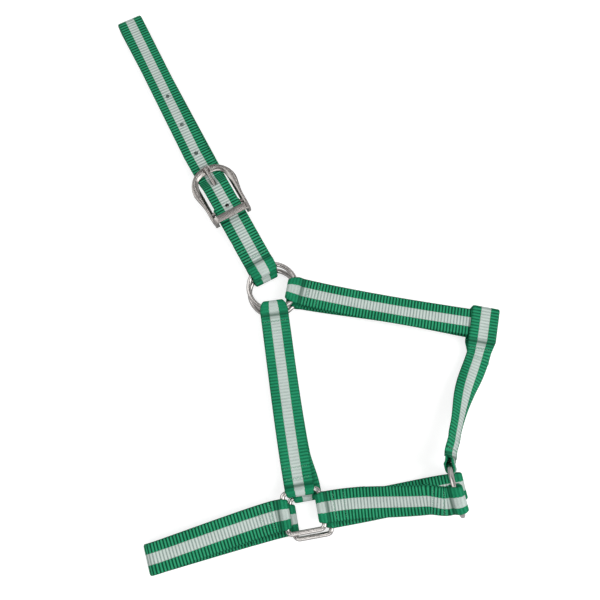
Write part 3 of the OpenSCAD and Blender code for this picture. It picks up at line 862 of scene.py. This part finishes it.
crownNear = []
d = frameLow - 1 * mm
while d < crown["kink"] + crown["topLength"] - crownTop / 2 - 1 * mm:
    crownNear.append(Stop(crownPoint(d) + up * crownLevel(d), leftOf(crownTurn(d))))
    d += 1 * mm
crownFarWay = (crownEnd - Vector((farCheek.x, farCheek.y, 0))).normalized()
crownFar = wireLoop(farCheek + crownFarWay * ring["radius"], crownFarWay, leftOf(angleOf(crownFarWay)),
                    -up, tunnel=ring["tunnel"], slack=ring["slack"])
crownPath = folded(crownNear, None, crownFar, crownFarWay, crownEnd,
                   crown["topWay"], angleOf(crownFarWay), crownTop, foldHeight)
holePlaces = [buckle["heelAt"]]
holePlaces += [buckle["heelAt"] + n * crown["holePitch"] - crown["holeBack"] for n in (2, 3, 4)]
crownHoles = [(crownPoint(k) + up * crownLevel(k), crown["holeSize"] / 2, crown["holeSize"] / 2, 2)
              for k in holePlaces]
slotAt = rampStart + crown["slotAt"]
crownHoles.append((crownPoint(slotAt) + up * crownLevel(slotAt), crown["slotHalf"],
                   buckle["tongueWidth"] / 2 + crown["slotRoom"], 4))
webbing("crownStrap", slimmed(sewn(crownPath, 0, web["lap"]), crown["slim"]), "crown",
        "crown_strap", "crown_stitching", crownHoles, crown["columns"])

chapeLap = (buckle["heelAt"] - ring["radius"] - 2 * web["throat"] - chape["lapRoom"]) / 2
chapeWay = heading(buckle["way"])
chapeRing = wireLoop(nearCheek + chapeWay * ring["radius"], chapeWay, leftOf(buckle["way"]), up,
                     tunnel=ring["tunnel"], slack=ring["slack"])
chapeHeel = wireLoop(heelBar, -chapeWay, leftOf(buckle["way"]), up, radius=heelHug, trim=0)
chapePath = sewn(betweenWires(chapeRing, chapeWay, chapeHeel, chapeWay), chapeLap, chapeLap)
chapeSlot = (heelBar + chapeWay * heelHug, chape["slotHalf"],
             buckle["tongueWidth"] / 2 + chape["slotRoom"], 6)
webbing("buckleChape", chapePath, "crown", "buckle_chape", "chape_stitching", [chapeSlot],
        crown["columns"])

# Connecting strap.

wrap = {
    "back": 12.0 * mm, "gap": 0.6 * mm, "throat": 12 * mm, "lap": 9 * mm, "round": 1.8 * mm,
    "at": 90, "drift": 0.12, "pull": 0.2, "twist": 0.75, "cup": 20 * mm, "shift": 2.6 * mm,
    "lean": 4.2 * mm, "narrow": 0.86, "slim": 0.93, "open": 0.42, "ribbed": 0.6,
}
wrapWay = -leftOf(throatStrap["way"])
wrapAt = (throatEnd + leftOf(throatStrap["way"]) * web["crowdShift"] / 2
          + heading(throatStrap["way"]) * (throatFoldHeight / 2 + web["thick"] / 2 - wrap["back"]))
throatTopZ = nearCheek.z + layer / 2
wrapHigh = throatTopZ + web["thick"] + wrap["gap"]
wrapLow = throatTopZ - throatFoldHeight - web["thick"] - web["loopGap"]
wrapHalf = web["width"] / 2 + wrap["gap"] + web["thick"] / 2
wrapMiddle = (wrapHigh + wrapLow) / 2
wrapOut = web["width"] / 2 + wrap["throat"]


def wrapStop(s, z, ribbed=1.0):
    return Stop(wrapAt + wrapWay * s + up * z, heading(throatStrap["way"]), None, None, ribbed)


def wrapCorner(z, side, first):
    stops = []
    for k in range(13):
        a = math.radians(first + 7.5 * k)
        stops.append(wrapStop(wrap["round"] - wrapHalf - wrap["round"] * math.sin(a),
                              z - side * wrap["round"] - wrap["round"] * math.cos(a)))
    return stops


def wrapSlope(z, side, back):
    stops = []
    for k in range(9):
        f = k / 8
        stops.append(wrapStop(mix(wrapHalf + 0.8 * mm, wrapOut, f),
                              mix(z, wrapMiddle + side * layer / 2, ease(f) * 0.4 + f * 0.6)))
        stops[-1].width *= mix(1, wrap["narrow"], f)
    return stops[::-1] if back else stops


wrapLoop = ([wrapStop(wrapOut + wrap["lap"], wrapMiddle - layer / 2)] + wrapSlope(wrapLow, -1, True)
            + wrapCorner(wrapLow, -1, 0) + wrapCorner(wrapHigh, 1, 90) + wrapSlope(wrapHigh, 1, False))
wrapLoop[0].width *= wrap["narrow"] * 0.95
wrapLoop[-7].seam = 1
connectEnd = wireLoop(chinMiddle + chinOut(wrap["at"]) * ring["radius"], chinOut(wrap["at"]),
                      chinAlong(wrap["at"]), chinAxis, tunnel=ring["tunnel"])

# The strap reaches the ring from its outer side, half on its face.
for stop in connectEnd:
    reach = (stop.place - chinMiddle).dot(chinSide) - ring["radius"]
    free = min(1, max(0, reach / web["throat"] - 0.1) / 0.9)
    stop.place += heading(0) * wrap["lean"] * free
    stop.across = (stop.across + heading(0) * wrap["open"] * free).normalized()
    stop.curl = chinAxis * -free / wrap["cup"]


# The webbing curls along its middle as it twists, and leans away from the cheek.
def connectMiddle():
    start = (wrapWay - heading(throatStrap["way"]) * wrap["drift"]).normalized()
    middle = curved(wrapLoop[-1], start, connectEnd[-1], -chinSide, wrap["pull"], wrap["twist"])
    for i, stop in enumerate(middle):
        f = (i + 1) / (len(middle) + 1)
        cupped = ease(f / 0.5)
        stop.place += heading(0) * wrap["shift"] * ease((f - 0.3) / 0.4) * ease((1 - f) / 0.2)
        stop.width *= mix(wrap["narrow"], 1, ease(f / 0.6))
        stop.curl = -outwardAt(middle, i) * cupped / wrap["cup"]
    return middle


connectPath = wrapLoop + connectMiddle() + backwards(connectEnd)
for piece in webbing("connectingStrap", slimmed(connectPath, wrap["slim"], wrap["ribbed"]), None,
                     "connecting_strap", "connecting_stitching"):
    wrapAt + wrapWay * wrapOut
    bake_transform(piece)

# Rings.
def wireSection(bm, at):
    made = bmesh.ops.create_circle(bm, segments=20, radius=ring["wire"])["verts"]
    bmesh.ops.rotate(bm, verts=made, cent=(0, 0, 0), matrix=Matrix.Rotation(math.pi / 2, 3, "X"))
    bmesh.ops.translate(bm, verts=made, vec=at)
    return made


def roundRing(name, middle, axis, body, node):
    bm = bmesh.new()
    wireSection(bm, (ring["radius"], 0, 0))
    bmesh.ops.spin(bm, geom=bm.verts[:] + bm.edges[:], cent=(0, 0, 0), axis=(0, 0, 1),
                   angle=2 * math.pi, steps=120, use_merge=True)
    bmesh.ops.remove_doubles(bm, verts=bm.verts, dist=1e-6)
    bmesh.ops.recalc_face_normals(bm, faces=bm.faces)
    turn = up.rotation_difference(axis).to_matrix().to_4x4()
    bmesh.ops.transform(bm, matrix=Matrix.Translation(middle) @ turn, verts=bm.verts)
    return newPiece(name, bm, polished, body, [node])


# Four bars and four corners, each grown from the last section.
def squareRing(name, middle, node):
    x = square["width"] / 2 - square["corner"]
    y = square["height"] / 2 - square["corner"]
    bm = bmesh.new()
    wireSection(bm, (square["width"] / 2, -y, 0))
    rim = bm.edges[:]
    for quarter in range(4):
        turn = Matrix.Rotation(math.pi / 2 * quarter, 3, "Z")
        for _ in range(8):
            grown = bmesh.ops.extrude_edge_only(bm, edges=rim)["geom"]
            rim = [g for g in grown if isinstance(g, bmesh.types.BMEdge)]
            moved = [g for g in grown if isinstance(g, bmesh.types.BMVert)]
            reach = (2 * y if quarter % 2 == 0 else 2 * x) / 8
            bmesh.ops.translate(bm, verts=moved, vec=turn @ Vector((0, reach, 0)))
        corner = Vector((x, y, 0))
        corner.x *= 1 if quarter in (0, 3) else -1
        corner.y *= 1 if quarter in (0, 1) else -1
        spun = bmesh.ops.spin(bm, geom=rim + moved, cent=corner, axis=(0, 0, 1),
                              angle=math.pi / 2, steps=12)["geom_last"]
        rim = [g for g in spun if isinstance(g, bmesh.types.BMEdge)]
    bmesh.ops.remove_doubles(bm, verts=bm.verts, dist=1e-5)
    bmesh.ops.recalc_face_normals(bm, faces=bm.faces)
    turn = Matrix.Rotation(math.radians(square["turn"]), 4, "Z")
    bmesh.ops.transform(bm, matrix=Matrix.Translation(middle) @ turn, verts=bm.verts)
    return newPiece(name, bm, polished, "headcollar", [node])


print("rings")
roundRing("nearCheekRing", nearCheek, up, "near_cheek_ring", "near_cheek_ring")
roundRing("farCheekRing", farCheek, up, "far_cheek_ring", "far_cheek_ring")
roundRing("chinRing", chinMiddle, chinAxis, "chin_ring", "chin_ring")
squareRing("nearNoseRing", nearNose, "near_nose_ring")
squareRing("farNoseRing", farNose, "far_nose_ring")

# Buckle.

crownLeft = leftOf(buckle["way"])


# Buckle places are (along the crown, to its left, up).
def onBuckle(d, y, z):
    return crownRoot + chapeWay * d + crownLeft * y + up * z


# The frame's edges by a turn in degrees: 0 is the arch's top, beyond 90 the arms run down.
def frameEdges(turn):
    a = math.radians(turn)
    if abs(turn) <= 90:
        outer = Vector((math.cos(a), math.sin(a), 0)) * buckle["archRadius"]
        p = 3.2
        r = innerHalf / (abs(math.cos(a)) ** p + abs(math.sin(a)) ** p) ** (1 / p)
        inner = Vector((math.cos(a), math.sin(a), 0)) * r
    else:
        side = 1 if turn > 0 else -1
        f = (abs(turn) - 90) / 60
        d = -f * (archMiddle - frameLow)
        waist = 1.1 * mm * math.sin(math.pi * min(1, f * 1.15)) ** 2
        waist += 2.2 * mm * (1 - math.sqrt(1 - max(0, (f - 0.88) / 0.12) ** 2))
        outer = Vector((d, side * (mix(buckle["archRadius"], buckle["footHalf"], f) - waist), 0))
        inner = Vector((d, side * innerHalf, 0))
    return outer, inner


def frameSection(width, notch):
    high = buckle["frameThick"] / 2
    flat = max(0.5, 1 - 2.7 * mm / width)
    top = high - notch
    return [(0, -0.6 * high), (0, 0.55 * high), (0.3 * mm, 0.88 * high), (0.8 * mm, min(high, top)),
            (width * flat * 0.5, top), (width * flat, top), (mix(width * flat, width, 0.22), 0.86 * top),
            (mix(width * flat, width, 0.85), 0.15 * high), (width, -0.1 * high), (width, -0.6 * high),
            (width - 0.5 * mm, -high), (0.5 * mm, -high)]


def notchDepth(turn):
    off = abs(math.radians(turn)) * (buckle["archRadius"] + innerHalf) / 2
    return buckle["notch"] * (1 - ease((off - 2.1 * mm) / (0.9 * mm))) if abs(turn) < 30 else 0


def buckleFrame():
    turns = [-150 + 3 * k for k in range(20)] + [-90 + 1.5 * k for k in range(120)]
    turns += [90 + 3 * k for k in range(21)]
    frames = []
    sections = []
    for turn in turns:
        outer, inner = frameEdges(turn)
        start = onBuckle(archMiddle + outer.x, outer.y, frameZ)
        end = onBuckle(archMiddle + inner.x, inner.y, frameZ)
        frames.append((start, (end - start).normalized(), up))
        sections.append(frameSection((end - start).length, notchDepth(turn)))
    return sweptSolid(frames, lambda row: sections[row])


def roundedBar(width, height, corner, count=6):
    points = []
    for quarter in range(4):
        cx = (width / 2 - corner) * (1 if quarter in (0, 3) else -1)
        cy = (height / 2 - corner) * (1 if quarter in (0, 1) else -1)
        for k in range(count):
            a = math.pi / 2 * (quarter + k / (count - 1))
            points.append((cx + corner * math.cos(a), cy + corner * math.sin(a)))
    return points


def keeperBar():
    half = buckle["footHalf"] - 1.75 * mm
    foot = frameZ - buckle["frameThick"] / 2
    topZ = overZ + web["thick"] / 2 + web["loopGap"] + buckle["keeperThick"] / 2
    bend = 3.4 * mm
    spots = [(-half, mix(foot, topZ - bend, k / 6), 180) for k in range(7)]
    turns = [math.pi / 2 * k / 10 for k in range(11)]
    spots += [(-half + bend - bend * math.cos(a), topZ - bend + bend * math.sin(a),
               180 - math.degrees(a)) for a in turns[1:]]
    spots += [(mix(bend - half, half - bend, k / 14), topZ, 90) for k in range(1, 14)]
    spots += [(half - bend + bend * math.sin(a), topZ - bend + bend * math.cos(a),
               90 - math.degrees(a)) for a in turns]
    spots += [(half, mix(topZ - bend, foot, k / 6), 0) for k in range(1, 7)]
    frames = []
    sections = []
    for y, z, turn in spots:
        a = math.radians(turn)
        middle = onBuckle(frameLow + buckle["keeperWidth"] / 2, y, z)
        leg = abs(math.cos(a))
        frames.append((middle, chapeWay, crownLeft * math.cos(a) + up * math.sin(a)))
        sections.append(roundedBar(buckle["keeperWidth"], mix(buckle["keeperThick"], 3.5 * mm, leg),
                                   1.0 * mm))
    return sweptSolid(frames, lambda row: sections[row])


def addParts(name, parts, body, node):
    whole = bmesh.new()
    for part in parts:
        scrap = bpy.data.meshes.new("scrap")
        part.to_mesh(scrap)
        part.free()
        whole.from_mesh(scrap)
        bpy.data.meshes.remove(scrap)
    return newPiece(name, whole, satin, body, [node])


def heelBarSolid():
    bm = bmesh.new()
    bmesh.ops.create_cone(bm, cap_ends=True, segments=32, radius1=buckle["heelRadius"],
                          radius2=buckle["heelRadius"], depth=2 * innerHalf + 3 * mm)
    turn = up.rotation_difference(crownLeft).to_matrix().to_4x4()
    bmesh.ops.transform(bm, matrix=Matrix.Translation(heelBar) @ turn, verts=bm.verts)
    return bm


tongueRest = {"slope": 2.979, "eye": 3.2 * mm}


def tongueBar():
    a = math.radians(tongueRest["slope"])
    way = chapeWay * math.cos(a) + up * math.sin(a)
    rise = up * math.cos(a) - chapeWay * math.sin(a)
    tip = frameHigh - buckle["heelAt"]
    frames = []
    sections = []
    for k in range(41):
        f = k / 40
        reach = mix(2.2 * mm, tip, f)
        gone = max(0, (reach - (tip - 2.2 * mm)) / (2.2 * mm))
        shrink = (1 - min(gone, 0.999) ** 2) ** 0.5
        width = mix(3.6 * mm, 2.8 * mm, f) * max(shrink, 0.06)
        thick = buckle["tongueThick"] * mix(1, 0.9, f) * max(shrink ** 0.6, 0.2)
        frames.append((heelBar + way * reach, crownLeft, rise))
        sections.append(roundedBar(width, thick, min(width, thick) * 0.45))
    return sweptSolid(frames, lambda row: sections[row])


def tongueEye():
    bm = bmesh.new()
    inner = buckle["heelRadius"] + 0.08 * mm
    outer = tongueRest["eye"]
    made = bmesh.ops.create_grid(bm, x_segments=4, y_segments=1, size=0.5)["verts"]
    bmesh.ops.scale(bm, verts=made, vec=(buckle["tongueWidth"], outer - inner, 1))
    bmesh.ops.translate(bm, verts=made, vec=(0, (outer + inner) / 2, 0))
    rim = [e for e in bm.edges if e.is_boundary]
    bmesh.ops.delete(bm, geom=bm.faces[:], context="FACES_ONLY")
    bmesh.ops.delete(bm, geom=[e for e in bm.edges if e not in rim], context="EDGES")
    bmesh.ops.spin(bm, geom=bm.verts[:] + bm.edges[:], cent=(0, 0, 0), axis=(1, 0, 0),
                   angle=2 * math.pi, steps=48, use_merge=True)
    bmesh.ops.remove_doubles(bm, verts=bm.verts, dist=1e-6)
    bmesh.ops.recalc_face_normals(bm, faces=bm.faces)
    turn = Vector((1, 0, 0)).rotation_difference(crownLeft).to_matrix().to_4x4()
    bmesh.ops.transform(bm, matrix=Matrix.Translation(heelBar) @ turn, verts=bm.verts)
    return bm


print("buckle")
addParts("buckleFrame", [buckleFrame(), keeperBar(), heelBarSolid()], "crown", "buckle_frame")
addParts("buckleTongue", [tongueBar(), tongueEye()], "tongue", "buckle_tongue")

# Floor, light, camera. The floor is pale where it is seen, darker where it is only reflected.
def floorFinish():
    f = Finish("paleFloor")
    place = f.node("ShaderNodeTexCoord", output=3)
    speck = f.node("ShaderNodeTexNoise", None, {"Vector": place, "Scale": 60.0, "Detail": 4.0})
    seen = f.node("ShaderNodeLightPath") + f.node("ShaderNodeLightPath", output=3) * 0.3
    pale = f.blendColours(speck * 0.5, (0.52, 0.52, 0.52), (0.50, 0.50, 0.50))
    f.feed(Base_Color=f.blendColours(seen, (0.34, 0.34, 0.35), pale), Roughness=speck * 0.1 + 0.75,
           Emission_Color=f.blendColours(seen, (0, 0, 0), (1, 1, 1)))
    f.shader.inputs["Emission Strength"].default_value = 0.66
    f.shader.inputs["Specular IOR Level"].default_value = 0.05
    return f.material


def addFloor():
    bm = bmesh.new()
    bmesh.ops.create_grid(bm, x_segments=1, y_segments=1, size=3.0)
    mesh = bpy.data.meshes.new("floor")
    bm.to_mesh(mesh)
    bm.free()
    floor = bpy.data.objects.new("floor", mesh)
    bpy.context.collection.objects.link(floor)
    mesh.materials.append(floorFinish())


def addLamp(name, place, size, power):
    lamp = bpy.data.lights.new(name, "AREA")
    lamp.shape = "RECTANGLE"
    lamp.size, lamp.size_y = size
    lamp.energy = power
    made = bpy.data.objects.new(name, lamp)
    made.location = place
    made.rotation_euler = Vector(place).to_track_quat("Z", "Y").to_euler()
    bpy.context.collection.objects.link(made)


print("stage")
addFloor()
addLamp("leftLamp", (-1.1, 0.35, 1.1), (1.0, 1.7), 10)
addLamp("rightLamp", (1.12, -0.25, 1.0), (0.9, 1.7), 17)
addLamp("frontLamp", (0.1, -1.25, 1.0), (1.6, 0.7), 10)
addLamp("stripLamp", (0.0, 0.25, 1.5), (0.14, 1.6), 2.5)

sky = {"lit": 0.25, "high": 0.16, "low": 0.95}


# White where it is seen; metal shows it bright near the ground and dim overhead.
def makeSky():
    world = bpy.data.worlds.new("studio")
    bpy.context.scene.world = world
    world.use_nodes = True
    tree = world.node_tree
    ray = tree.nodes.new("ShaderNodeLightPath")
    seen = Wire(tree, ray.outputs["Is Camera Ray"])
    mirrored = Wire(tree, ray.outputs["Is Glossy Ray"])
    split = tree.nodes.new("ShaderNodeSeparateXYZ")
    tree.links.new(tree.nodes.new("ShaderNodeTexCoord").outputs["Generated"], split.inputs[0])
    overhead = Wire(tree, split.outputs[2]).step(0.30, 0.80)
    strength = (seen + mirrored * (sky["low"] - overhead * (sky["low"] - sky["high"]))
                + (1 - seen - mirrored) * sky["lit"])
    tree.nodes["Background"].inputs["Color"].default_value = (1, 1, 1, 1)
    tree.links.new(strength.socket, tree.nodes["Background"].inputs["Strength"])


makeSky()

shot = {"lens": 48, "tilt": 15, "away": 0.700,
        "aim": (nearCheek.x + 23.68 * mm, nearCheek.y - 8.41 * mm, 0)}
lens = bpy.data.cameras.new("camera")
lens.lens = shot["lens"]
lens.sensor_width = 36
lens.clip_start = 0.01
camera = bpy.data.objects.new("camera", lens)
tilt = math.radians(shot["tilt"])
camera.location = Vector(shot["aim"]) + Vector((0, -math.sin(tilt), math.cos(tilt))) * shot["away"]
camera.rotation_euler = (tilt, 0, 0)
bpy.context.collection.objects.link(camera)
bpy.context.scene.camera = camera
bpy.context.scene.view_settings.view_transform = "Standard"

print("done")
